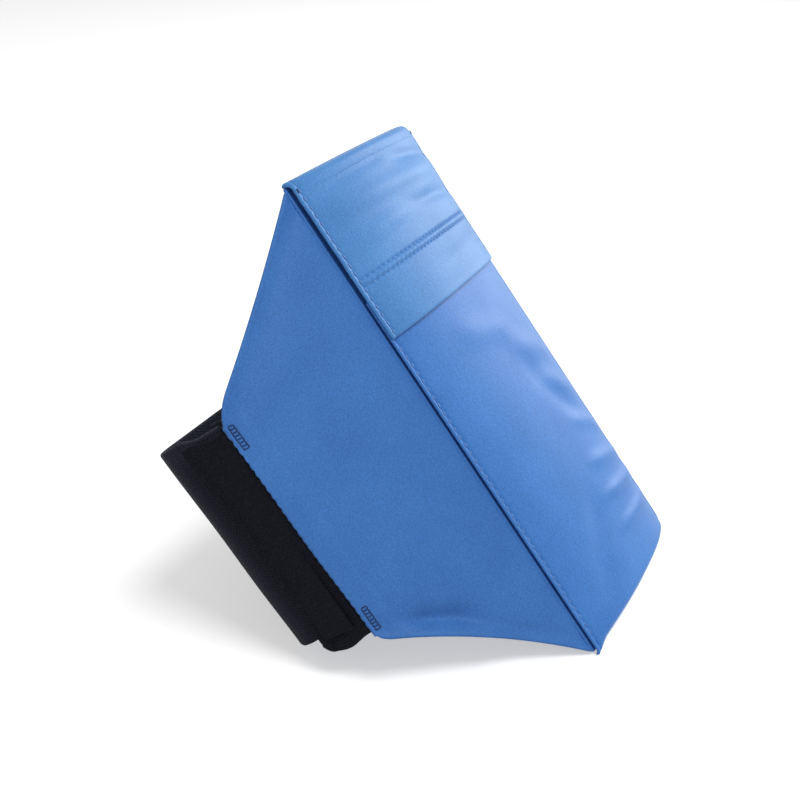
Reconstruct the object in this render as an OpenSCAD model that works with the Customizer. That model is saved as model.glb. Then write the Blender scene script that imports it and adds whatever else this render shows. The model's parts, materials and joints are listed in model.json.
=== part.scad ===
// Upper-arm band with a stretch pocket: a flat cloth pocket with an envelope flap,
// two tapering cloth wings, and a wide elastic strap closed by a hook-and-loop tab.
// It stands on its own, leaning back on the strap. Sizes are in millimetres.

/* [Pocket] */
// Width of the pocket from side seam to side seam
pocket_w = 86; // [66:1:106]
// Length of the pocket from the bottom edge to the top fold
pocket_l = 175; // [140:1:215]
// How far the middle of the front stands out from the back panel
crown = 7.6; // [6:0.2:11]
// Thickness of one layer of the stretch cloth
cloth_t = 0.8; // [0.6:0.1:1.2]
// Thickness of the back panel, two layers of cloth
back_t = 1.2; // [0.9:0.1:1.8]
// Length of one stitch of the topstitching, with its gap
stitch_pitch = 3; // [2.5:0.25:4]

/* [Flap] */
// Length of the flap, from the top fold to its free edge
flap_l = 57; // [45:1:68]
// Width of the doubled hem along the free edge of the flap
flap_hem_w = 19; // [14:1:24]
// How far the flap covers the mouth of the front panel
flap_overlap = 14; // [9:1:18]

/* [Wings] */
// Length of a wing from the side seam to the strap
wing_l = 56.6; // [45:0.5:70]
// Angle at which a wing turns back from the pocket
wing_angle = 35.7; // [28:0.5:44]
// Thickness of a wing, two layers of cloth
wing_t = 1.2; // [0.9:0.1:1.8]
// Width of the folded hem at the strap end of a wing
wing_hem_w = 7; // [5:0.5:9]
// Hollow of the curved lower edge of a wing
wing_hollow = 3; // [1.5:0.5:5]

/* [Strap and tab] */
// Width of the elastic strap
strap_w = 76; // [60:1:90]
// Thickness of the elastic
strap_t = 1.6; // [1.2:0.1:2.4]
// Depth of the closed band, from the seam line to the outside of the strap
ring_depth = 69; // [62:1:84]
// Outer radius of the two bends of the strap
bend_r = 12; // [8:1:16]
// Length of the closure tab beyond the wing
tab_l = 18; // [14:0.5:22]
// Thickness of the closure tab
tab_t = 1.2; // [0.9:0.1:1.8]
// Thickness of the hook patch and of the loop patch
patch_t = 0.5; // [0.4:0.1:0.8]

/* [Hidden] */
$fn = 96;

// Clearance between pieces that move apart
gap = 0.3;
// Thickness of a folded edge, a hem layer or a closing panel
fold_t = 0.6;
end_t = 1.2;

// The front of the pocket is a shallow cylinder that meets the back panel at the seams
front_r = (pow(pocket_w / 2, 2) + pow(crown, 2)) / (2 * crown);
front_q = front_r - crown;
inner_r = front_r - cloth_t;
flap_r = front_r + gap + 0.05;
flap_lo = pocket_l - flap_l;
flap_hi = pocket_l - end_t - 0.4;
mouth = flap_lo + flap_overlap;

// Where the inside of the front is high enough for the seam allowance
allow_h = 0.7;
allow_w = 5;
allow_b = pocket_w / 2 - sqrt(pow(inner_r, 2) - pow(front_q + allow_h + 0.3, 2));

// The topstitching runs close to the seam, on the sloping edge of the front
stitch_b = 2.6;
stitch_run = pocket_w / 2 - stitch_b;
stitch_h = sqrt(pow(front_r, 2) - pow(stitch_run, 2)) - front_q;
stitch_slope = asin(stitch_run / front_r);
flap_side = stitch_b + 1;

// Heights along the arm of the strap, the tab and the narrow end of a wing
strap_mid = pocket_l * 0.51;
edge_w = strap_w + 2;
edge_lo = strap_mid - edge_w / 2;
edge_hi = strap_mid + edge_w / 2;
strap_lo = strap_mid - strap_w / 2 + 0.6;
strap_hi = strap_lo + strap_w;
tab_lo = edge_lo + 0.5;

// The hinge line of a wing, and the far end of the wing
seam_q = back_t / 2;
wing_b = wing_l * cos(wing_angle);
wing_q = seam_q + wing_l * sin(wing_angle);
wing_start = wing_t / 2 + 0.15;
wing_stop = wing_l - wing_t / 2 - 0.05;
shoulder_r = 9;

// The strap runs inside the tab at the near side and ends behind the wing
strap_x0 = -wing_b + tab_t / 2 + patch_t + gap + patch_t;
strap_x1 = pocket_w + wing_b + strap_t / 2;
near_end = wing_q + 3.5;
far_end = wing_q + strap_t / 2 + 0.05;
tab_start = wing_q + tab_t / 2 + 0.05;
tab_stop = wing_q + tab_l;

// The band leans back until the strap rests on the same floor as the pocket
lean = atan(strap_lo / (ring_depth - back_t));
mid_x = (-wing_b - tab_t / 2 - fold_t + strap_x1) / 2;
front_y = -crown * cos(lean);
back_y = ring_depth * cos(lean) + strap_hi * sin(lean);
mid_y = (front_y + back_y) / 2;

pocket_blue = [0.28, 0.46, 0.76];
flap_blue = [0.36, 0.55, 0.82];
wing_blue = [0.24, 0.4, 0.66];
thread_navy = [0.1, 0.16, 0.36];
pile_black = [0.07, 0.08, 0.11];
elastic_black = [0.1, 0.11, 0.15];

// Turns the worn band, with the arm along Z, to the way it stands
module stand() {
  translate([-mid_x, -mid_y, back_t * sin(lean)])
    rotate([-lean, 0, 0])
      children();
}

// Draws a piece of the near side again at the far side
module far_side() {
  translate([pocket_w, 0, 0])
    mirror([1, 0, 0])
      children();
}

// A disc of the front's cylinder, seen along the arm
module front_disc(r) {
  translate([pocket_w / 2, front_q])
    circle(r);
}

// A curved layer of cloth over the front, from b0 to b1 across and s0 to s1 along
module front_layer(r0, r1, b0, b1, s0, s1) {
  translate([0, 0, s0])
    linear_extrude(height = s1 - s0)
      intersection() {
        difference() {
          front_disc(r1);
          front_disc(r0);
        }
        translate([b0, -4 * crown])
          square([b1 - b0, 4 * crown]);
      }
}

// A closing panel between the back panel and a curved front of radius r
module end_panel(r, s0) {
  translate([0, 0, s0])
    linear_extrude(height = end_t)
      intersection() {
        front_disc(r);
        translate([0, -4 * crown])
          square([pocket_w, 4 * crown]);
      }
}

module front_panel() {
  color(pocket_blue)
    stand()
      front_layer(inner_r, front_r, 0, pocket_w, end_t, mouth);
}

module back_panel() {
  color(wing_blue)
    stand()
      cube([pocket_w, back_t, pocket_l]);
}

module bottom_gusset() {
  color(pocket_blue)
    stand()
      end_panel(front_r, 0);
}

module top_fold() {
  color(flap_blue)
    stand()
      end_panel(flap_r + cloth_t, pocket_l - end_t);
}

module mouth_hem() {
  color(pocket_blue)
    stand()
      front_layer(inner_r - fold_t, inner_r, allow_b + allow_w + 1,
        pocket_w - allow_b - allow_w - 1, mouth - 8, mouth);
}

module seam_allowance() {
  translate([allow_b, -allow_h, end_t])
    cube([allow_w, allow_h, pocket_l - 2 * end_t]);
}

module near_seam_allowance() {
  color(wing_blue)
    stand()
      seam_allowance();
}

module far_seam_allowance() {
  color(wing_blue)
    stand()
      far_side()
        seam_allowance();
}

// Single stitches lying on the front, up to the free edge of the flap
module topstitch_row() {
  for (s = [4 : stitch_pitch : mouth - 4])
    translate([stitch_b, -stitch_h, s])
      rotate([0, 0, -stitch_slope])
        translate([-0.3, -0.46, 0])
          cube([0.6, 0.45, stitch_pitch * 0.7]);
}

module near_topstitch() {
  color(thread_navy)
    stand()
      topstitch_row();
}

module far_topstitch() {
  color(thread_navy)
    stand()
      far_side()
        topstitch_row();
}

// A short bar of thread on the top fold, at the end of a side seam
module corner_tack() {
  translate([1, -1, pocket_l])
    cube([3, 0.8, 0.4]);
}

module corner_tacks() {
  color(thread_navy)
    stand() {
      corner_tack();
      far_side()
        corner_tack();
    }
}

module flap_panel() {
  color(flap_blue)
    stand()
      front_layer(flap_r, flap_r + cloth_t, flap_side, pocket_w - flap_side,
        flap_lo + flap_hem_w, flap_hi);
}

module flap_hem() {
  color(flap_blue)
    stand()
      front_layer(flap_r, flap_r + cloth_t + 0.4, flap_side, pocket_w - flap_side,
        flap_lo, flap_lo + flap_hem_w);
}

// Two rows of thread across the flap, along the inner edge of its hem
module flap_coverstitch() {
  color(thread_navy)
    stand()
      for (row = [1.1, 2.9])
        front_layer(flap_r + cloth_t + 0.4, flap_r + cloth_t + 0.7, flap_side + 2,
          pocket_w - flap_side - 2, flap_lo + flap_hem_w - row - 0.5,
          flap_lo + flap_hem_w - row);
}

// Puts a piece drawn flat in X and Z, wing root at X = 0, in the wing's plane
module on_wing() {
  translate([0, seam_q, 0])
    rotate([0, 0, -wing_angle])
      children();
}

// The tapering outline of a wing, root at the right and strap end at the left
module wing_outline() {
  root_lo = 1.5;
  root_hi = pocket_l - 2.5;
  run = wing_stop - wing_start;
  rise = root_hi - edge_hi;
  slant = sqrt(pow(run, 2) + pow(rise, 2));
  half = atan2(run, -rise) / 2;
  reach = shoulder_r / tan(half);
  chord = sqrt(pow(run, 2) + pow(edge_lo - root_lo, 2));
  hollow_r = (pow(chord / 2, 2) + pow(wing_hollow, 2)) / (2 * wing_hollow);
  fall = atan2(edge_lo - root_lo, run);
  centre = [-wing_stop + shoulder_r, edge_hi - reach];
  difference() {
    union() {
      difference() {
        polygon([[-wing_start, root_lo], [-wing_start, root_hi],
          [-wing_stop, edge_hi], [-wing_stop, edge_lo]]);
        polygon([[-wing_stop - 1, edge_hi + 1], [-wing_stop - 1, edge_hi - reach],
          centre, [-wing_stop + reach * run / slant, edge_hi + reach * rise / slant],
          [-wing_stop, edge_hi + reach]]);
      }
      translate(centre)
        circle(shoulder_r);
    }
    translate([-(wing_start + wing_stop) / 2, (root_lo + edge_lo) / 2])
      rotate(-fall)
        translate([0, wing_hollow - hollow_r])
          circle(hollow_r, $fn = 240);
  }
}

module wing_panel() {
  on_wing()
    translate([0, wing_t / 2, 0])
      rotate([90, 0, 0])
        linear_extrude(height = wing_t)
          wing_outline();
}

// The turned-in end of the cloth, on the arm side of the wing
module wing_hem() {
  on_wing()
    translate([-wing_stop + 0.4, wing_t / 2, edge_lo + 2])
      cube([wing_hem_w, fold_t, edge_w - 2 * shoulder_r / 1.5 - 4]);
}

// Two narrow bars of dense thread, one near each corner of the wing's end
module wing_bartacks() {
  on_wing()
    for (s = [edge_lo + 3, edge_hi - 13])
      translate([-wing_stop + 2.6, -wing_t / 2 - 0.4, s])
        cube([1.6, 0.4, 9]);
}

module near_wing_panel() {
  color(wing_blue)
    stand()
      wing_panel();
}

module near_wing_hem() {
  color(wing_blue)
    stand()
      wing_hem();
}

module near_wing_bartacks() {
  color(thread_navy)
    stand()
      wing_bartacks();
}

module far_wing_panel() {
  color(wing_blue)
    stand()
      far_side()
        wing_panel();
}

module far_wing_hem() {
  color(wing_blue)
    stand()
      far_side()
        wing_hem();
}

module far_wing_bartacks() {
  color(thread_navy)
    stand()
      far_side()
        wing_bartacks();
}

module closure_tab() {
  color(pile_black)
    stand()
      translate([-wing_b - tab_t / 2, tab_start, tab_lo])
        cube([tab_t, tab_stop - tab_start, strap_w]);
}

module hook_patch() {
  color(pile_black)
    stand()
      translate([-wing_b + tab_t / 2, wing_q + 4, tab_lo + 3])
        cube([patch_t, tab_l - 6, strap_w - 6]);
}

// The tab's end is turned over once, which leaves a raised edge on its outside
module tab_end_fold() {
  color(pile_black)
    stand()
      translate([-wing_b - tab_t / 2 - fold_t, tab_stop - 3, tab_lo])
        cube([fold_t, 3, strap_w]);
}

// The closed outline of the strap, seen along the arm, drawn in by inset
module strap_block(inset) {
  translate([strap_x0 + inset, 0])
    square([strap_x1 - strap_x0 - 2 * inset, ring_depth - bend_r]);
  translate([strap_x0 + bend_r, 0])
    square([strap_x1 - strap_x0 - 2 * bend_r, ring_depth - inset]);
  translate([strap_x0 + bend_r, ring_depth - bend_r])
    circle(bend_r - inset);
  translate([strap_x1 - bend_r, ring_depth - bend_r])
    circle(bend_r - inset);
}

module elastic_strap() {
  color(elastic_black)
    stand()
      translate([0, 0, strap_lo])
        linear_extrude(height = strap_w)
          difference() {
            strap_block(0);
            strap_block(strap_t);
            translate([strap_x0 - 1, -1])
              square([pocket_w / 2 - strap_x0, near_end + 1]);
            translate([pocket_w / 2 - 2, -1])
              square([strap_x1 - pocket_w / 2 + 3, far_end + 1]);
          }
}

module loop_patch() {
  color(pile_black)
    stand()
      translate([strap_x0 - patch_t, near_end + 1, strap_lo + 2])
        cube([patch_t, tab_l - 5, strap_w - 4]);
}

module strap_end_fold() {
  color(elastic_black)
    stand()
      translate([strap_x0 + strap_t, near_end, strap_lo])
        cube([fold_t, 4, strap_w]);
}

front_panel();
back_panel();
bottom_gusset();
top_fold();
mouth_hem();
near_seam_allowance();
far_seam_allowance();
near_topstitch();
far_topstitch();
corner_tacks();
flap_panel();
flap_hem();
flap_coverstitch();
near_wing_panel();
near_wing_hem();
near_wing_bartacks();
closure_tab();
hook_patch();
tab_end_fold();
far_wing_panel();
far_wing_hem();
far_wing_bartacks();
elastic_strap();
loop_patch();
strap_end_fold();
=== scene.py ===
# %% [markdown]
# # An upper-arm band in stretch cloth and elastic
#
# The band is a flat cloth pocket with an envelope flap, two tapering wings, and a wide
# elastic strap that closes on a short pile tab. Every visible part is a thin sheet, so
# each one is built the same way: a grid of points gives the middle of the cloth, and
# one helper turns it into a closed sheet with a rounded edge.
#
# The measured frame comes first. Its boxes and hinges give every position used below.

# %% Load the frame
import json
import math

import bpy
import numpy as np
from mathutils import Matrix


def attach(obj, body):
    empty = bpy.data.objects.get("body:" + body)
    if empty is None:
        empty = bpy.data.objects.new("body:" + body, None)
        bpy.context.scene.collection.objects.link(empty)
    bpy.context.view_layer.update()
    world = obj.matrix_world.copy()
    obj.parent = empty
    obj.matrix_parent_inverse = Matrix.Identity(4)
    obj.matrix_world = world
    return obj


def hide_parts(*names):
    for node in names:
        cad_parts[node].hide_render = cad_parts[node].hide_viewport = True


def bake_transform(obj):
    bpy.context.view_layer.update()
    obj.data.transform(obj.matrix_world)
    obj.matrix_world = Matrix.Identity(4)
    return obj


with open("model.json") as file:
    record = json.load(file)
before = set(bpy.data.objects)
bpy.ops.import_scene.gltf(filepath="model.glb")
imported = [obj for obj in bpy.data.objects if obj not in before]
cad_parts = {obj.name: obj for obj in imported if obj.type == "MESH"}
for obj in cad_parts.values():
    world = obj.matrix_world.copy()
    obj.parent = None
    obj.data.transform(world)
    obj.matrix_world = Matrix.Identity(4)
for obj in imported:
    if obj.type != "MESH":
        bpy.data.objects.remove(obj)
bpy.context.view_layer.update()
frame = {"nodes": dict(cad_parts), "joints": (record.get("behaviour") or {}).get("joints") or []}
joints = {j["name"]: j for j in frame["joints"]}

# %% [markdown]
# The band leans back as it stands. It is much easier to shape in the directions of the
# arm: b across the pocket, q from the pocket towards the strap, s up along the arm.
# The wing hinge gives s, and the back panel gives the origin. All lengths here are in
# millimetres, and `place` turns them into metres in the row frame.

# %% Directions of the worn band
ALONG = np.array(joints["near_wing_fold"]["axis"])
ACROSS = np.array([1.0, 0.0, 0.0])
BACK = np.cross(ALONG, ACROSS)
AXES = np.stack([ACROSS, BACK, ALONG])


def spans(node):
    co = np.array([v.co for v in frame["nodes"][node].data.vertices]) @ AXES.T
    return co.min(0), co.max(0)


ORIGIN = spans("back_panel")[0] @ AXES


def worn(point):
    return (np.array(point) - ORIGIN) @ AXES.T * 1000


def place(points):
    return ORIGIN + np.asarray(points, float) / 1000 @ AXES


def measure(node):
    low, high = spans(node)
    return worn(low @ AXES), worn(high @ AXES)


W, L = measure("back_panel")[1][[0, 2]]
CROWN = -measure("front_panel")[0][1]
MOUTH = measure("front_panel")[1][2]
FLAP_LO = measure("flap_hem")[0][2]
HEM_TOP = measure("flap_hem")[1][2]
near_hinge = worn(joints["near_wing_fold"]["pos_m"])
tab_hinge = worn(joints["tab_peel"]["pos_m"])
far_hinge = worn(joints["far_wing_fold"]["pos_m"])
strap_hinge = worn(joints["strap_swing"]["pos_m"])
WING = math.hypot(*(tab_hinge - near_hinge)[:2])
TURN = math.atan2(tab_hinge[1] - near_hinge[1], near_hinge[0] - tab_hinge[0])
EDGE_LO, EDGE_HI = measure("closure_tab")[0][2] - 1.6, measure("closure_tab")[1][2] + 1.4
print("pocket", round(W), "x", round(L), "mm, wing", round(WING, 1), "mm")

# %% [markdown]
# Cloth has thickness and its edges are round. `cloth` takes a grid of points in the
# middle of the sheet, pushes copies to both faces along the surface normal, and closes
# the rim with a half circle. A closed sheet shades well at its edges and can be
# printed. It also keeps the distances across the grid as a UV map, for weaves.


# %% A closed sheet from a grid
def unit(v):
    return v / np.maximum(np.linalg.norm(v, axis=-1, keepdims=True), 1e-9)


def new_object(name, points, faces, material):
    mesh = bpy.data.meshes.new(name)
    mesh.from_pydata(points.tolist(), [], faces.tolist())
    mesh.update()
    mesh.polygons.foreach_set("use_smooth", [True] * len(mesh.polygons))
    mesh.materials.append(material)
    obj = bpy.data.objects.new(name, mesh)
    bpy.context.scene.collection.objects.link(obj)
    return obj


def grid_normals(grid):
    return unit(np.cross(np.gradient(grid, axis=0), np.gradient(grid, axis=1)))


def cloth(name, grid, thick, material, rim=3):
    m, n = grid.shape[:2]
    normal = grid_normals(grid)
    front, behind = grid + normal * thick / 2, grid - normal * thick / 2
    i = np.r_[np.arange(m), np.full(n - 1, m - 1), np.arange(m - 2, -1, -1), np.zeros(n - 2, int)]
    j = np.r_[np.zeros(m, int), np.arange(1, n), np.full(m - 1, n - 1), np.arange(n - 2, 0, -1)]
    du, dv = unit(np.gradient(grid, axis=0)), unit(np.gradient(grid, axis=1))
    out = (
        du[i, j] * ((i == m - 1).astype(float) - (i == 0))[:, None]
        + dv[i, j] * ((j == n - 1).astype(float) - (j == 0))[:, None]
    )
    out = unit(out - normal[i, j] * (out * normal[i, j]).sum(1)[:, None])
    rows = [
        grid[i, j] + thick / 2 * (math.cos(a) * normal[i, j] + math.sin(a) * out)
        for a in np.linspace(0, math.pi, rim + 2)[1:-1]
    ]
    points = np.concatenate([front.reshape(-1, 3), behind.reshape(-1, 3), *rows])
    a = np.arange(m * n).reshape(m, n)
    quads = np.stack([a[:-1, :-1], a[1:, :-1], a[1:, 1:], a[:-1, 1:]], -1).reshape(-1, 4)
    edge = i * n + j
    loops = [edge] + [2 * m * n + k * len(edge) + np.arange(len(edge)) for k in range(rim)]
    loops.append(edge + m * n)
    sides = [
        np.stack([x, y, np.roll(y, -1), np.roll(x, -1)], 1) for x, y in zip(loops, loops[1:])
    ]
    faces = np.concatenate([quads, quads[:, ::-1] + m * n, *sides])
    obj = new_object(name, place(points), faces, material)
    run = np.linalg.norm(np.diff(grid[:, n // 2], axis=0), axis=1)
    across = np.linalg.norm(np.diff(grid[m // 2], axis=0), axis=1)
    u, v = np.r_[0, np.cumsum(run)] / 1000, np.r_[0, np.cumsum(across)] / 1000
    flat = np.stack(np.meshgrid(u, v, indexing="ij"), -1)
    uv = np.concatenate([flat.reshape(-1, 2)] * 2 + [flat[i, j]] * rim)
    layer = obj.data.uv_layers.new(name="weave")
    corner = np.empty(len(obj.data.loops), int)
    obj.data.loops.foreach_get("vertex_index", corner)
    layer.data.foreach_set("uv", uv[corner].reshape(-1))
    area = np.linalg.norm(
        np.cross(grid[1:, :-1] - grid[:-1, :-1], grid[:-1, 1:] - grid[:-1, :-1]), axis=-1
    ).sum()
    print(name, m, "x", n, "points,", round(area / 100, 1), "square cm")
    return obj


# %% [markdown]
# Sewing thread shows as separate stitches. Each one is a small bowed tube whose ends
# sink into the cloth. `stitches` makes a whole seam as one mesh from pairs of points.


# %% Stitches as small bowed tubes
def stitches(name, starts, ends, normals, radius, bow, material, steps=6, around=6):
    t = np.linspace(0, 1, steps)
    middle = (
        starts[:, None] * (1 - t)[None, :, None]
        + ends[:, None] * t[None, :, None]
        + normals[:, None] * (bow * np.sin(math.pi * t))[None, :, None]
    )
    way = unit(ends - starts)
    side = unit(np.cross(way, normals))
    up = unit(np.cross(side, way))
    angle = np.linspace(0, 2 * math.pi, around, endpoint=False)
    thick = radius * (0.35 + 0.65 * np.sin(math.pi * t) ** 0.6)
    ring = (
        middle[:, :, None]
        + thick[None, :, None, None]
        * (
            np.cos(angle)[None, None, :, None] * side[:, None, None]
            + np.sin(angle)[None, None, :, None] * up[:, None, None]
        )
    )
    count = len(starts)
    index = np.arange(count * steps * around).reshape(count, steps, around)
    nxt = np.roll(index, -1, axis=2)
    tube = np.stack([index[:, :-1], index[:, 1:], nxt[:, 1:], nxt[:, :-1]], -1).reshape(-1, 4)
    faces = [list(q) for q in tube]
    for k in range(count):
        faces.append(list(index[k, 0]))
        faces.append(list(index[k, -1][::-1]))
    mesh = bpy.data.meshes.new(name)
    mesh.from_pydata(place(ring.reshape(-1, 3)).tolist(), [], [[int(x) for x in f] for f in faces])
    mesh.polygons.foreach_set("use_smooth", [True] * len(mesh.polygons))
    mesh.materials.append(material)
    obj = bpy.data.objects.new(name, mesh)
    bpy.context.scene.collection.objects.link(obj)
    print(name, count, "stitches")
    return obj


# %% [markdown]
# Three finishes cover the band: a smooth stretch knit, a black brushed pile, and a ribbed
# black elastic. The knit is one blue, set in three shades: the pocket's own blue, a
# lighter blue on the flap that is painted light, and a darker blue on the wings, back
# panel and inner strips that is painted shade. A knit this fine shows as a soft mottled
# grain and a pale sheen where the cloth turns away, so noise moves the colour a little
# and a sheen layer, tinted pale blue, does the rest.


# %% Stretch cloth
def link(tree, a, b):
    tree.links.new(a, b)


def noise(tree, coord, scale, detail=2.0):
    node = tree.nodes.new("ShaderNodeTexNoise")
    node.inputs["Scale"].default_value = scale
    node.inputs["Detail"].default_value = detail
    link(tree, coord, node.inputs["Vector"])
    return node.outputs["Fac"]


def shade_range(tree, value, low, high, dark, light):
    ramp = tree.nodes.new("ShaderNodeValToRGB")
    ramp.color_ramp.elements[0].position = low
    ramp.color_ramp.elements[1].position = high
    ramp.color_ramp.elements[0].color = (*dark, 1)
    ramp.color_ramp.elements[1].color = (*light, 1)
    link(tree, value, ramp.inputs["Fac"])
    return ramp.outputs["Color"]


def bump(tree, value, strength, distance, after=None):
    node = tree.nodes.new("ShaderNodeBump")
    node.inputs["Strength"].default_value = strength
    node.inputs["Distance"].default_value = distance
    link(tree, value, node.inputs["Height"])
    if after is not None:
        link(tree, after, node.inputs["Normal"])
    return node.outputs["Normal"]


def multiply(tree, a, b, kind="MULTIPLY"):
    node = tree.nodes.new("ShaderNodeMix")
    node.data_type = "RGBA"
    node.blend_type = kind
    node.inputs["Factor"].default_value = 1.0
    link(tree, a, node.inputs["A"])
    link(tree, b, node.inputs["B"])
    return node.outputs["Result"]


def start_material(name, roughness, sheen, sheen_rough):
    mat = bpy.data.materials.new(name)
    mat.use_nodes = True
    shader = mat.node_tree.nodes["Principled BSDF"]
    shader.inputs["Roughness"].default_value = roughness
    shader.inputs["Sheen Weight"].default_value = sheen
    shader.inputs["Sheen Roughness"].default_value = sheen_rough
    shader.inputs["Sheen Tint"].default_value = (0.8, 0.9, 1.0, 1.0)
    shader.inputs["Specular IOR Level"].default_value = 0.2
    coord = mat.node_tree.nodes.new("ShaderNodeTexCoord").outputs["Object"]
    return mat, mat.node_tree, shader, coord


def stretch_cloth(name, colour, sheen):
    mat, tree, shader, coord = start_material(name, 0.55, sheen, 0.3)
    dark, light = [c * 0.87 for c in colour], [min(1, c * 1.13) for c in colour]
    grain = shade_range(tree, noise(tree, coord, 2000, 3), 0.36, 0.64, dark, light)
    patches = noise(tree, coord, 55, 2)
    cloud = shade_range(tree, patches, 0.3, 0.7, (0.9, 0.92, 0.94), (1.06, 1.05, 1.03))
    link(tree, multiply(tree, grain, cloud), shader.inputs["Base Color"])
    fine = bump(tree, noise(tree, coord, 2600, 2), 0.25, 0.0002)
    link(tree, bump(tree, noise(tree, coord, 850, 2), 0.18, 0.0004, fine), shader.inputs["Normal"])
    return mat


pocket_blue = stretch_cloth("pocket_blue", (0.048, 0.192, 0.545), 0.38)
# The flap is the pocket's own cloth. Its lighter blue is painted light, for the top end that faces the
# lamps.
flap_blue = stretch_cloth("flap_blue", (0.068, 0.235, 0.56), 0.38)
# The wings are the same cloth too. Their darker blue is painted shade, and the back panel, seam
# allowances and hems share it.
wing_blue = stretch_cloth("wing_blue", (0.050, 0.176, 0.50), 0.14)
print("stretch cloth in three shades")

# %% [markdown]
# Thread is a plain matt colour with a twist. The pile and the elastic are nearly black
# with a trace of blue. The pile shows short rows. The elastic is woven in narrow
# chevrons, which the sheet's own UV map carries round the bends.


# %% Thread, pile and elastic
def thread(name, colour):
    mat, tree, shader, coord = start_material(name, 0.55, 0.2, 0.4)
    dark = [c * 0.7 for c in colour]
    twist = shade_range(tree, noise(tree, coord, 4000, 2), 0.35, 0.65, dark, colour)
    link(tree, twist, shader.inputs["Base Color"])
    return mat


def math_node(tree, kind, a, b):
    node = tree.nodes.new("ShaderNodeMath")
    node.operation = kind
    for socket, value in zip(node.inputs, (a, b)):
        if isinstance(value, (int, float)):
            socket.default_value = value
        else:
            link(tree, value, socket)
    return node.outputs["Value"]


def weave_axes(tree):
    uv = tree.nodes.new("ShaderNodeUVMap")
    uv.uv_map = "weave"
    split = tree.nodes.new("ShaderNodeSeparateXYZ")
    link(tree, uv.outputs["UV"], split.inputs["Vector"])
    return split.outputs["X"], split.outputs["Y"]


def black_pile(name, colour):
    mat, tree, shader, coord = start_material(name, 0.9, 0.03, 0.5)
    shader.inputs["Specular IOR Level"].default_value = 0.1
    v = weave_axes(tree)[1]
    rows = math_node(tree, "SINE", math_node(tree, "MULTIPLY", v, 2 * math.pi / 0.0013), 0)
    fuzz = noise(tree, coord, 2400, 4)
    lint = shade_range(tree, noise(tree, coord, 1500, 2), 0.5, 0.8, colour, (0.018, 0.018, 0.026))
    link(tree, lint, shader.inputs["Base Color"])
    relief = math_node(tree, "ADD", math_node(tree, "MULTIPLY", rows, 0.22), fuzz)
    link(tree, bump(tree, relief, 0.9, 0.0006), shader.inputs["Normal"])
    return mat


def elastic(name, colour):
    mat, tree, shader, coord = start_material(name, 0.6, 0.04, 0.4)
    shader.inputs["Specular IOR Level"].default_value = 0.15
    u, v = weave_axes(tree)
    zigzag = math_node(tree, "PINGPONG", u, 0.0011)
    lines = math_node(tree, "MULTIPLY", math_node(tree, "ADD", v, zigzag), 2 * math.pi / 0.0011)
    chevron = math_node(tree, "SINE", lines, 0)
    # The node adds a half by itself, so the wave runs from a quarter to three quarters.
    raised = math_node(tree, "MULTIPLY_ADD", chevron, 0.25)
    tone = shade_range(tree, raised, 0.0, 0.9, colour, (0.017, 0.019, 0.032))
    link(tree, tone, shader.inputs["Base Color"])
    fuzz = noise(tree, coord, 2500, 2)
    relief = math_node(tree, "ADD", math_node(tree, "MULTIPLY", chevron, 0.5), fuzz)
    link(tree, bump(tree, relief, 0.7, 0.0004), shader.inputs["Normal"])
    return mat


seam_thread = thread("seam_thread", (0.11, 0.27, 0.62))
navy_thread = thread("navy_thread", (0.012, 0.03, 0.13))
pile = black_pile("pile", (0.0055, 0.006, 0.011))
webbing = elastic("webbing", (0.007, 0.008, 0.015))
print("thread, pile and elastic")

# %% [markdown]
# The front of the pocket is one crowned sheet that curls under at the bottom. `height`
# is how far it stands off the back panel. Close to each side seam the cloth has a
# rolled edge, then a groove where the topstitching pulls it in, with a dimple for each
# stitch. Further in, a few soft folds run towards the lower corner.


# %% Shape of the pocket's front
STITCH_B, PITCH = 1.9, 3.0
CLOTH_T, FLAP_T, WING_T, BACK_T, TAB_T = 0.8, 1.1, 1.3, 1.1, 1.3
INSET = 0.4


def smooth(x, low, high):
    t = np.clip((x - low) / (high - low), 0, 1)
    return t * t * (3 - 2 * t)


def bell(x, width):
    return np.exp(-((x / width) ** 2))


def fold(b, s, start, end, width, height):
    start, end = np.array(start, float), np.array(end, float)
    way = (end - start) / np.linalg.norm(end - start)
    run = (b - start[0]) * way[0] + (s - start[1]) * way[1]
    off = (b - start[0]) * way[1] - (s - start[1]) * way[0]
    reach = np.linalg.norm(end - start)
    ends = smooth(run, -0.15 * reach, 0.3 * reach) * (1 - smooth(run, 0.7 * reach, 1.15 * reach))
    return height * bell(off, width) * ends


def seam_pull(b, s, high):
    near = np.minimum(b, W - b)
    groove = bell(near - STITCH_B, 0.6)
    dimple = bell(near - STITCH_B, 0.8) * (0.5 + 0.5 * np.cos(2 * math.pi * s / PITCH))
    roll = 0.5 * bell(near - 0.6, 0.8) * np.where(b < W / 2, 1, 0.2)
    return high * (roll - 0.35 * groove - 0.4 * dimple)


def height(b):
    x = (b - W / 2) / (W / 2)
    return 0.7 + (CROWN - 1.0) * (1 - np.abs(x) ** np.where(x > 0, 2.9, 2.2))


FRONT_FOLDS = [
    ((86, 34), (52, 42), 2.8, 0.7),
    ((86, 25), (48, 30), 2.4, 0.75),
    ((84, 16), (46, 18), 2.4, 0.7),
    ((84, 46), (58, 58), 3.5, 0.6),
    ((82, 62), (56, 76), 4.5, 0.6),
    ((80, 80), (50, 92), 5.0, 0.5),
    ((70, 52), (52, 86), 6.0, -0.6),
    ((16, 10), (44, 34), 6.0, -0.8),
    ((60, 96), (26, 106), 5.0, 0.45),
]


def front_height(b, s):
    out = height(b) + seam_pull(b, s, 1.0)
    for start, end, width, high in FRONT_FOLDS:
        out = out + 1.3 * fold(b, s, start, end, width, high)
    return out


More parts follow.
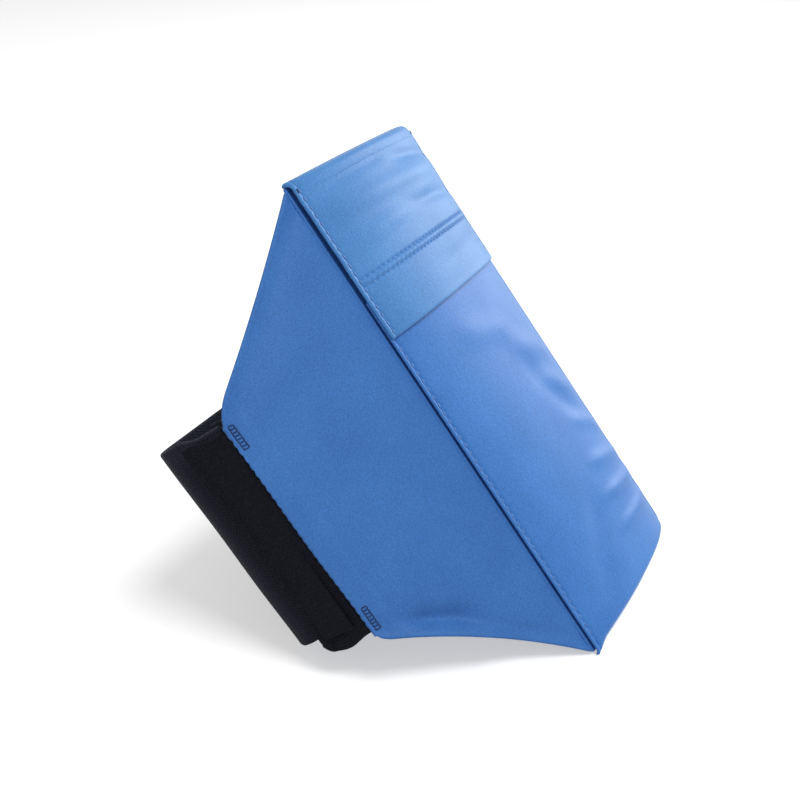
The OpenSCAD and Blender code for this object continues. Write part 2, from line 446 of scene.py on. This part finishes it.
def corner_cut(b, near_r, far_r):
    near = np.clip(1 - b / near_r, 0, 1)
    far = np.clip(1 - (W - b) / far_r, 0, 1)
    return near_r * (1 - np.sqrt(1 - near**2)) + far_r * (1 - np.sqrt(1 - far**2))


def across_steps(low, high, count):
    t = np.linspace(0, 1, count)
    return low + (high - low) * (t - 0.11 * np.sin(2 * math.pi * t))


b = across_steps(INSET, W - INSET, 190)
curl = np.linspace(0, math.pi / 2, 12)
CURL_R = 3.0
s = np.r_[CURL_R * (1 - np.cos(curl)), np.arange(CURL_R + 0.6, MOUTH, 0.6)]
rise = np.r_[np.sin(curl) ** 0.9, np.ones(len(s) - len(curl))]
bb, ss = np.meshgrid(b, s, indexing="ij")
lift = corner_cut(bb, 1.2, 5.0) * (1 - smooth(ss, 0, 22))
lift = lift - 1.4 * (1 - smooth(bb, 0, 9)) * (1 - smooth(ss, 0, 14))
qq = -(0.4 + (front_height(bb, ss) - 0.4) * rise[None, :])
pocket_front = cloth("pocket_front", np.stack([bb, qq, ss + lift], -1)[:, ::-1], CLOTH_T, pocket_blue)
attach(pocket_front, "pocket")
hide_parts("front_panel", "bottom_gusset")

# %% [markdown]
# The flap is the same cloth folded over the top and down over the mouth. Its sides are
# sewn into the seams, and its lower edge is a doubled hem held by two rows of stitches
# with a puffy ridge between them. It is made in two halves, one each side of the middle.

# %% Shape of the flap
ROW_A, ROW_B = HEM_TOP + 1.2, HEM_TOP - 1.0
FLAP_FOLDS = [
    ((2, 147), (66, 152), 3.0, 0.7),
    ((8, 160), (84, 157), 3.6, 0.9),
    ((34, 151), (86, 147), 2.6, -0.8),
    ((2, 168), (54, 169), 2.4, -0.6),
    ((48, 166), (86, 163), 2.4, -0.7),
    ((40, 127), (84, 129), 3.0, -0.35),
]


def flap_height(b, s):
    out = height(b) + 0.95 + 0.35 * smooth(np.minimum(b, W - b), 1, 14)
    out = out + seam_pull(b, s, 0.85)
    for start, end, width, high in FLAP_FOLDS:
        out = out + fold(b, s, start, end, width, high)
    ripple = 0.5 + 0.5 * np.cos(2 * math.pi * b / 2.6)
    inside = smooth(np.minimum(b, W - b), 1.6, 3.4)
    out = out + inside * 0.6 * bell(s - (ROW_A + ROW_B) / 2, 0.85)
    for row in (ROW_A, ROW_B):
        out = out - inside * (0.25 + 0.3 * ripple) * bell(s - row, 0.6)
    return out + 0.25 * bell(s - FLAP_LO, 2.0) * inside


CREST = 5.0
for name, low, high, start, end in (
    ("flap_near_half", INSET, W / 2, 1.5, 30),
    ("flap_far_half", W / 2, W - INSET, W - 1.5, W - 30),
):
    s = np.arange(FLAP_LO + 0.4, L - CREST + 0.01, 0.45)
    bb, ss = np.meshgrid(across_steps(low, high, 110), s, indexing="ij")
    grid = np.stack([bb, -flap_height(bb, ss), ss], -1)[:, ::-1]
    half = cloth(name, grid, FLAP_T, flap_blue)
    if name == "flap_near_half":
        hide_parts("flap_panel", "flap_hem")
    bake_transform(half)

# %% [markdown]
# At the top the flap turns over the crest to the back. That turn stays with the pocket,
# so it is a piece of its own that carries on the flap's surface and rounds it off.

# %% Crest of the pocket
b = across_steps(INSET, W - INSET, 190)
turn = np.linspace(0, math.pi / 2, 12)[1:]
TOP_R = 2.6
s = np.r_[np.arange(L - CREST - 0.2, L - TOP_R, 0.45), L - TOP_R * (1 - np.sin(turn))]
drop = np.r_[np.ones(len(s) - len(turn)), np.cos(turn) ** 0.9]
bb, ss = np.meshgrid(b, s, indexing="ij")
qq = -(-0.5 + (flap_height(bb, ss) + 0.5) * drop[None, :])
cut = corner_cut(bb, 1.2, 5.0) * smooth(ss, L - CREST, L)
crest = cloth("pocket_crest", np.stack([bb, qq, ss - cut], -1)[:, ::-1], FLAP_T, flap_blue)
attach(crest, "pocket")
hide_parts("top_fold")

# %% [markdown]
# The back panel lies against the arm. It is a doubled sheet with a slight give in the
# middle, and a shallow groove runs round it where it is sewn.

# %% Back panel
b = across_steps(0.2, W - 0.2, 110)
s = np.arange(0.3, L - 0.2, 0.9)
bb, ss = np.meshgrid(b, s, indexing="ij")
rim_near = np.minimum(np.minimum(bb, W - bb), np.minimum(ss, L - ss))
give = 0.35 * smooth(rim_near, 2, 14) - 0.25 * bell(rim_near - 3.2, 0.7)
up = corner_cut(bb, 1.2, 5.0) * ((1 - smooth(ss, 0, 22)) - smooth(ss, L - 22, L))
back_sheet = cloth("back_sheet", np.stack([bb, 0.6 + give, ss + up], -1), BACK_T, wing_blue)
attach(back_sheet, "pocket")
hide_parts("back_panel")

# %% [markdown]
# A wing is a flat doubled panel that narrows from the seam to the strap. Its upper edge
# is nearly straight with a round shoulder, its lower edge is hollow, and the end has a folded
# hem that stands a little proud. The thickness of the turned-in edges shows as a
# rolled rim with a soft dip beside it, and a few diagonal folds run to the lower
# corner where the strap pulls.

# %% Shape of a wing
H_B, H_Q = math.cos(TURN), math.sin(TURN)
HEM_W = 7.2


def wing_limits(x):
    shoulder = np.clip((x - 0.88) / 0.12, 0, 1)
    heel = np.clip((x - 0.93) / 0.07, 0, 1)
    top = (L - 2.2) + (EDGE_HI - L + 2.2) * x - 4 * 1.4 * x * (1 - x)
    top = top - 5.6 * (1 - np.sqrt(1 - shoulder**2))
    low = 0.8 + (EDGE_LO - 2.6) * x + 4 * 3.4 * x * (1 - x)
    return low + 3.0 * (1 - np.sqrt(1 - heel**2)), top


def skew(s):
    return 0.5 - 1.7 * (s - (EDGE_LO + EDGE_HI) / 2) / 39


WING_FOLDS = [
    ((50, 44), (20, 22), 3.4, 2.2),
    ((45, 46), (26, 34), 3.4, -2.0),
    ((50, 43), (22, 15), 2.6, -0.8),
    ((20, 140), (46, 118), 6.0, 0.5),
    ((8, 60), (30, 84), 8.0, -0.5),
]


def wing_out(u, s, x, low, top):
    slope_top = math.cos(math.atan2(L - 2.2 - EDGE_HI, WING))
    edge = np.minimum((top - s) * slope_top, (s - low) * 0.86)
    out = 1.2 * np.sin(math.pi * np.clip(x, 0, 1)) * np.sin(math.pi * (s - low) / (top - low))
    out = out + 0.45 * bell(edge, 1.1) - 0.45 * bell(edge - 4.2, 2.4)
    out = out + 0.3 * smooth(u, WING - HEM_W - 1.6, WING - HEM_W + 1.2)
    out = out - 0.7 * smooth(u, WING - HEM_W, WING + 6)
    out = out - 0.25 * bell(u, 1.6)
    for start, end, width, high in WING_FOLDS:
        out = out + fold(u, s, start, end, width, high)
    return out


def wing_point(u, v, near):
    x = u / WING
    low, top = wing_limits(x)
    s = low + v * (top - low)
    out = wing_out(u, s, x, low, top)
    end_wave = 0.09 * np.sin(2 * math.pi * s / 2.7) * smooth(x, 0.96, 1)
    u = u + end_wave
    b = -u * H_B - out * H_Q
    q = near_hinge[1] + 0.2 + u * H_Q - out * H_B
    if near:
        return np.stack([b + skew(s) * x, q, s], -1)
    return np.stack([W - b, q, s], -1)


u = WING * np.r_[np.linspace(0.004, 0.86, 84), 0.86 + 0.132 * np.sin(np.linspace(0, math.pi / 2, 26)[1:])]
v = np.linspace(0, 1, 320)
uu, vv = np.meshgrid(u, v, indexing="ij")
near_wing = cloth("near_wing", wing_point(uu, vv, True), WING_T, wing_blue)
far_wing = cloth("far_wing", wing_point(uu, vv, False)[::-1], WING_T, wing_blue)
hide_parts("near_wing_panel")
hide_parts("far_wing_panel")
for wing, hinge, side, sign in (
    (near_wing, near_hinge, "near_wing", -1),
    (far_wing, far_hinge, "far_wing", 1),
):
    end = hinge + [sign * 7 * H_B, 7 * H_Q, 0]
    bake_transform(wing)

# %% [markdown]
# The tab is a short strip of black pile cloth. It starts under the hem of the near wing
# and lies on the elastic. Its free end is turned over and stands up as a step.


# %% Closure tab
def along(points, step):
    points = np.array(points, float)
    far = np.r_[0, np.cumsum(np.linalg.norm(np.diff(points, axis=0), axis=1))]
    at = np.linspace(0, far[-1], int(far[-1] / step) + 2)
    return np.stack([np.interp(at, far, points[:, k]) for k in range(points.shape[1])], 1)


def soften(path, times):
    for _ in range(times):
        path[1:-1] = (path[:-2] + 2 * path[1:-1] + path[2:]) / 4
    return path


tab_low, tab_high = measure("closure_tab")
tab_end = tab_high[1]
tab_b = tab_hinge[0]
under = [tab_b + 6 * H_B + 1.2 * H_Q, tab_hinge[1] - 6 * H_Q + 1.2 * H_B]
path = along([under, [tab_b + 0.9, tab_hinge[1] + 0.4], [tab_b + 0.1, tab_end]], 0.35)
path = soften(path, 14)
rows = np.linspace(0, 1, 170)
t, v = np.meshgrid(np.linspace(0, 1, len(path)), rows, indexing="ij")
q_here = path[:, 1][:, None] + 0 * v
s_low = tab_low[2] - 0.3 - 1.9 * bell(q_here - tab_end + 7, 6)
corner = np.clip((q_here - tab_end + 3) / 3, 0, 1)
s_low = s_low + 2.2 * (1 - np.sqrt(1 - corner**2))
s_high = tab_high[2] - 2.6 + 0 * v + 1.4 * smooth(q_here, tab_end - 9, tab_end - 3)
ss = s_low + v * (s_high - s_low)
step_up = 0.55 * smooth(q_here, tab_end - 3.2, tab_end - 1.6)
wavy = 0.25 * np.sin(2 * math.pi * ss / 23) * smooth(q_here, tab_hinge[1] + 4, tab_end)
bb = path[:, 0][:, None] - step_up - wavy + skew(ss)
tab_grid = np.stack([bb, q_here + 0.3 * np.sin(ss / 4.1), ss], -1)
tab = cloth("tab_pile", tab_grid, TAB_T, pile)
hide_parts("closure_tab", "tab_end_fold")
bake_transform(tab)

# %% [markdown]
# The elastic runs from under the tab, round the near bend, across the back and round
# to the far wing. Its path is the outline of the ring, and the sheet is drawn along it.

# %% Elastic strap
strap_low, strap_high = measure("elastic_strap")
STRAP_T = 1.6
x0, x1 = strap_low[0] + STRAP_T / 2, strap_high[0] - STRAP_T / 2
q_back = strap_high[1] - STRAP_T / 2
BEND = 11.2


def arc(centre, start, stop):
    angle = np.radians(np.linspace(start, stop, 24))
    return np.stack([centre[0] + BEND * np.cos(angle), centre[1] + BEND * np.sin(angle)], 1)


ring = np.concatenate(
    [
        [[x0, measure("strap_end_fold")[0][1]]],
        arc((x0 + BEND, q_back - BEND), 180, 90),
        arc((x1 - BEND, q_back - BEND), 90, 0),
        [[x1, strap_hinge[1] - 0.6]],
    ]
)
path = soften(along(ring, 0.8), 6)
rows = np.linspace(0, 1, 120)
bb = path[:, 0][:, None] + 0 * rows[None, :]
qq = path[:, 1][:, None] + 0 * bb
near_part = 1 - smooth(bb, -30, 40)
s_low = strap_low[2] + 2.6 * near_part
s_high = strap_high[2] - 0.2 - 1.8 * near_part * (1 - smooth(qq, tab_end - 6, tab_end + 4))
ss = s_low + rows[None, :] * (s_high - s_low)
bb = bb + skew(ss) * near_part + 0.15 * np.sin(ss / 7) * near_part
bb = bb + (0.9 * bell(qq - tab_end - 2.5, 3) - 0.9 * bell(qq - tab_end - 9, 4)) * near_part
belly = np.sin(bb / 19) * np.sin(math.pi * rows)[None, :]
qq = qq + 0.4 * belly * smooth(qq, q_back - 4, q_back) - 0.4
strap = cloth("strap_elastic", np.stack([bb, qq, ss], -1), STRAP_T, webbing)
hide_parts("elastic_strap")
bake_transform(strap)

# %% [markdown]
# Smaller strips: the turned-in hems behind the wings, the seam allowances and the mouth
# hem inside the pocket, and the two patches of the closure with the strap's end. Each
# is a soft-edged strip in the box of its own node.


# %% Small strips
def strip(name, node, body, material, plane, shape, thick, wave=0.05):
    """A strip with round edges. plane is the direction it is thin in, 0 for b and 1 for q."""
    low, high = measure(node)
    one, two = [k for k in (0, 1, 2) if k != plane]
    a = np.linspace(low[one] + thick / 2, high[one] - thick / 2, shape[0])
    c = np.linspace(low[two] + thick / 2, high[two] - thick / 2, shape[1])
    aa, cc = np.meshgrid(a, c, indexing="ij")
    grid = np.zeros((*aa.shape, 3))
    grid[..., one], grid[..., two] = aa, cc
    grid[..., plane] = (low[plane] + high[plane]) / 2 + wave * np.sin(aa) * np.sin(cc / 5)
    obj = cloth(name, grid, thick, material)
    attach(obj, body)
    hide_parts(node)
    return obj


strip("allowance_near", "near_seam_allowance", "pocket", wing_blue, 1, (8, 90), 0.6)
strip("allowance_far", "far_seam_allowance", "pocket", wing_blue, 1, (8, 90), 0.6)
strip("tab_hooks", "hook_patch", "tab", pile, 0, (16, 70), 0.45)
strip("strap_loops", "loop_patch", "strap", pile, 0, (16, 70), 0.45)
strip("strap_turned_end", "strap_end_fold", "strap", webbing, 0, (8, 70), 0.6)

low, high = measure("mouth_hem")
b = np.linspace(low[0] + 0.5, high[0] - 0.5, 60)
s = np.linspace(low[2] + 0.5, high[2] - 0.4, 14)
bb, ss = np.meshgrid(b, s, indexing="ij")
mouth_grid = np.stack([bb, -(height(bb) - 1.2), ss], -1)[:, ::-1]
mouth_strip = cloth("mouth_strip", mouth_grid, 0.6, pocket_blue)
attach(mouth_strip, "pocket")
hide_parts("mouth_hem")

for side, near in (("near", True), ("far", False)):
    u = np.linspace(WING - HEM_W - 0.6, WING - 1.4, 12)
    v = np.linspace(0.06, 0.90, 90)
    uu, vv = np.meshgrid(u, v, indexing="ij")
    outer = wing_point(uu, vv, near)
    inward = np.array([H_Q if near else -H_Q, H_B, 0]) * 1.15
    grid = outer + inward
    hem = cloth(f"{side}_hem_strip", grid if near else grid[::-1], 0.6, wing_blue)
    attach(hem, f"{side}_wing")
    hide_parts(f"{side}_wing_hem")

# %% [markdown]
# The topstitching follows the side seams two millimetres in, over the flap and the
# front alike. The flap's hem has its two rows across. A side-seam stitch lies in a
# dimple that the cloth already has, and a hem stitch runs from one dimple to the next.


# %% Stitching
def surface(b, s):
    high = np.where(s > FLAP_LO + 0.3, flap_height(b, s) + 0.55, front_height(b, s) + 0.4)
    return np.stack([b, -high, s], -1)


def facing(b, s):
    d = 0.3
    across = surface(b + d, s) - surface(b - d, s)
    upward = surface(b, s + d) - surface(b, s - d)
    return unit(np.cross(across, upward))


def seam_stitches(name, b_at, node):
    s = np.arange(PITCH / 2 + 3, L - 4, PITCH)
    s = s[np.abs(s + PITCH / 2 - FLAP_LO) > PITCH * 0.55]
    bs = np.full(len(s), b_at)
    gap = PITCH * 0.36
    starts, ends = surface(bs, s + PITCH / 2 - gap), surface(bs, s + PITCH / 2 + gap)
    out = facing(bs, s + PITCH / 2)
    obj = stitches(name, starts, ends, out, 0.34, 0.18, seam_thread)
    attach(obj, "pocket")
    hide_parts(node)


seam_stitches("stitch_line_near", STITCH_B, "near_topstitch")
seam_stitches("stitch_line_far", W - STITCH_B, "far_topstitch")

for half, low, high, start, end in (
    ("near", 2.6, W / 2, 1.5, 30),
    ("far", W / 2, W - 2.6, W - 1.5, W - 30),
):
    b = np.arange(low, high - 1.0, 2.6)
    pairs = [(b, np.full(len(b), row)) for row in (ROW_A, ROW_B)]
    bs = np.concatenate([p[0] for p in pairs])
    rows = np.concatenate([p[1] for p in pairs])
    starts, ends = surface(bs + 0.35, rows), surface(bs + 2.2, rows)
    out = facing(bs + 1.3, rows)
    obj = stitches(f"cover_stitch_{half}", starts, ends, out, 0.28, 0.2, seam_thread)
    if half == "near":
        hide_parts("flap_coverstitch")
    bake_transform(obj)

# %% [markdown]
# A bartack is a short dense bar: two long rails of thread with slanted rungs between
# them. Two sit near the corners of each wing's end. The top corners of the pocket are
# closed by a few stitches too.


# %% Bartacks
def wing_dot(u, s, near):
    x = u / WING
    low, top = wing_limits(x)
    v = (s - low) / (top - low)
    return wing_point(u, v, near)


def bartacks(name, near, body, node):
    starts, ends = [], []
    for middle in (EDGE_LO + 4.4, EDGE_HI - 7.6):
        rails = (WING - 3.2, WING - 1.5)
        s = np.linspace(middle - 4.1, middle + 4.1, 8)
        for rail in rails:
            starts += [(rail, a) for a in s[:-1]]
            ends += [(rail, a) for a in s[1:]]
        starts += [(rails[0], a) for a in s]
        ends += [(rails[1], a + 0.25) for a in s]
    starts, ends = np.array(starts), np.array(ends)
    a = wing_dot(starts[:, 0], starts[:, 1], near)
    c = wing_dot(ends[:, 0], ends[:, 1], near)
    out = np.tile([-H_Q if near else H_Q, -H_B, 0.0], (len(a), 1))
    obj = stitches(name, a + out * 0.72, c + out * 0.72, out, 0.19, 0.08, navy_thread)
    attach(obj, body)
    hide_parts(node)


bartacks("bartacks_near", True, "near_wing", "near_wing_bartacks")
bartacks("bartacks_far", False, "far_wing", "far_wing_bartacks")

tack_b = np.array([0.6, 1.0, 1.4, W - 1.4, W - 1.0, W - 0.6])
tack_s = np.full(6, L - 2.4)
tack_a, tack_c = surface(tack_b, tack_s - 2.2), surface(tack_b, tack_s - 0.6)
tacks = stitches("corner_thread", tack_a, tack_c, facing(tack_b, tack_s), 0.18, 0.1, navy_thread)
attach(tacks, "pocket")
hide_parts("corner_tacks")

# %% [markdown]
# The cloth is knitted to stretch, and it is held out by its seams. A wing is cut as a
# tapering panel.

print("all sheets built")

# %% [markdown]
# The band stands on a white table. The floor is white to the camera and still takes
# the soft shadow. Most of the light comes evenly from all round. One lamp stands high
# and a little to the left. A second is low on the right, so it only grazes the pocket
# and shows its crown and folds, and the near wing gets none of it.

# %% Floor and light
scene = bpy.context.scene
scene.view_settings.view_transform = "Standard"
world = bpy.data.worlds.new("studio")
scene.world = world
world.use_nodes = True
tree = world.node_tree
background = tree.nodes["Background"]
paths = tree.nodes.new("ShaderNodeLightPath")
seen = math_node(tree, "MAXIMUM", paths.outputs["Is Camera Ray"], paths.outputs["Is Glossy Ray"])
seen = math_node(tree, "MAXIMUM", seen, paths.outputs["Is Transmission Ray"])
strength = tree.nodes.new("ShaderNodeMapRange")
strength.inputs["To Min"].default_value = 0.42
strength.inputs["To Max"].default_value = 1.0
link(tree, seen, strength.inputs["Value"])
link(tree, strength.outputs["Result"], background.inputs["Strength"])
background.inputs["Color"].default_value = (1, 1, 1, 1)

floor_mat = bpy.data.materials.new("table")
floor_mat.use_nodes = True
tree = floor_mat.node_tree
shader = tree.nodes["Principled BSDF"]
shader.inputs["Base Color"].default_value = (0.82, 0.82, 0.82, 1)
shader.inputs["Roughness"].default_value = 0.9
shader.inputs["Specular IOR Level"].default_value = 0.0
paths = tree.nodes.new("ShaderNodeLightPath")
glow = math_node(tree, "MULTIPLY", paths.outputs["Is Camera Ray"], 0.45)
link(tree, glow, shader.inputs["Emission Strength"])
shader.inputs["Emission Color"].default_value = (1, 1, 1, 1)
bpy.ops.mesh.primitive_plane_add(size=8, location=(0, 0, -0.0006))
floor = bpy.context.object
floor.name = "table_top"
floor.data.materials.append(floor_mat)


def lamp(name, direction, distance, size, power):
    data = bpy.data.lights.new(name, "AREA")
    data.shape, data.size, data.energy = "DISK", size, power
    obj = bpy.data.objects.new(name, data)
    scene.collection.objects.link(obj)
    way = unit(np.array(direction, float))
    obj.location = np.array([0, 0, 0.08]) + way * distance
    obj.rotation_euler = obj.location.to_track_quat("Z", "Y").to_euler()
    return obj


lamp("key", (-0.25, -0.35, 0.9), 1.3, 0.5, 8.5)
lamp("right", (0.92, -0.30, 0.30), 1.4, 0.4, 13)
print("floor and lamps")

# %% [markdown]
# The camera looks down at the closed side of the band, from the left of the pocket.
# It is level, so it is set by a heading, a height angle and a lens.

# %% Camera
heading, tilt = math.radians(65.72), math.radians(25.02)
data = bpy.data.cameras.new("camera")
data.lens = 56.73
camera = bpy.data.objects.new("camera", data)
scene.collection.objects.link(camera)
camera.location = (-0.36738, -0.14201, 0.24201)
camera.rotation_euler = (math.pi / 2 - tilt, 0, -heading)
scene.camera = camera
